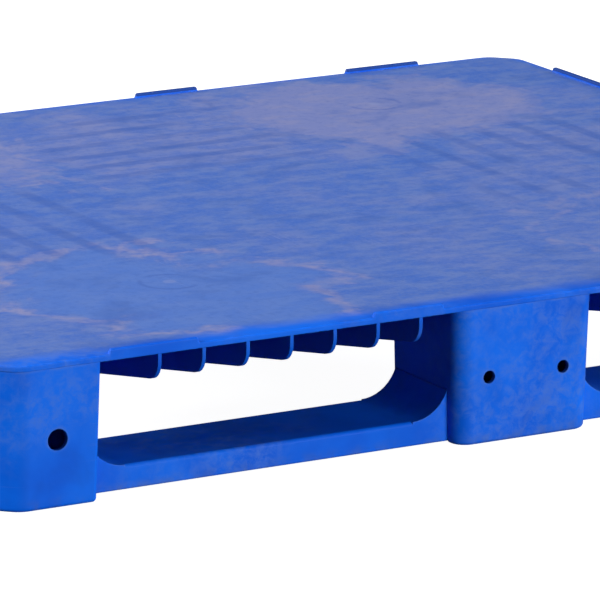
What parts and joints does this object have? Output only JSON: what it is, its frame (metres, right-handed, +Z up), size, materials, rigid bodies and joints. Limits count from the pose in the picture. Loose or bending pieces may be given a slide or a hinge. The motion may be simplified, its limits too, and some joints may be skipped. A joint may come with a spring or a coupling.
{
  "type": "plastic pallet",
  "caption": "Four-way plastic pallet with a closed flat deck, low rim tabs, ribbed underside, hollow feet and runners along the long side.",
  "frame": {"origin": "on the floor, under the middle of the deck", "axes": "+X along the long side, which the runners follow; +Y towards the back long side; +Z up from the floor through the deck"},
  "size_m": [1.2, 1, 0.152],
  "materials": {
    "deck_plastic": "moulded, scuffed and dusty on top",
    "foot_plastic": "moulded, fine grain",
    "runner_plastic": "moulded, fine grain",
    "zinc_steel": "zinc plated"
  },
  "bodies": {
    "root": {"deck": "deck_plastic", "foot_front_left": "foot_plastic", "foot_front_centre": "foot_plastic", "foot_front_right": "foot_plastic", "foot_middle_left": "foot_plastic", "foot_middle_centre": "foot_plastic", "foot_middle_right": "foot_plastic", "foot_back_left": "foot_plastic", "foot_back_centre": "foot_plastic", "foot_back_right": "foot_plastic", "runner_front": "runner_plastic", "runner_middle": "runner_plastic", "runner_back": "runner_plastic", "screws_front_left": "zinc_steel", "screws_front_centre": "zinc_steel", "screws_front_right": "zinc_steel", "screws_middle_left": "zinc_steel", "screws_middle_centre": "zinc_steel", "screws_middle_right": "zinc_steel", "screws_back_left": "zinc_steel", "screws_back_centre": "zinc_steel", "screws_back_right": "zinc_steel"}
  },
  "joints": []
}
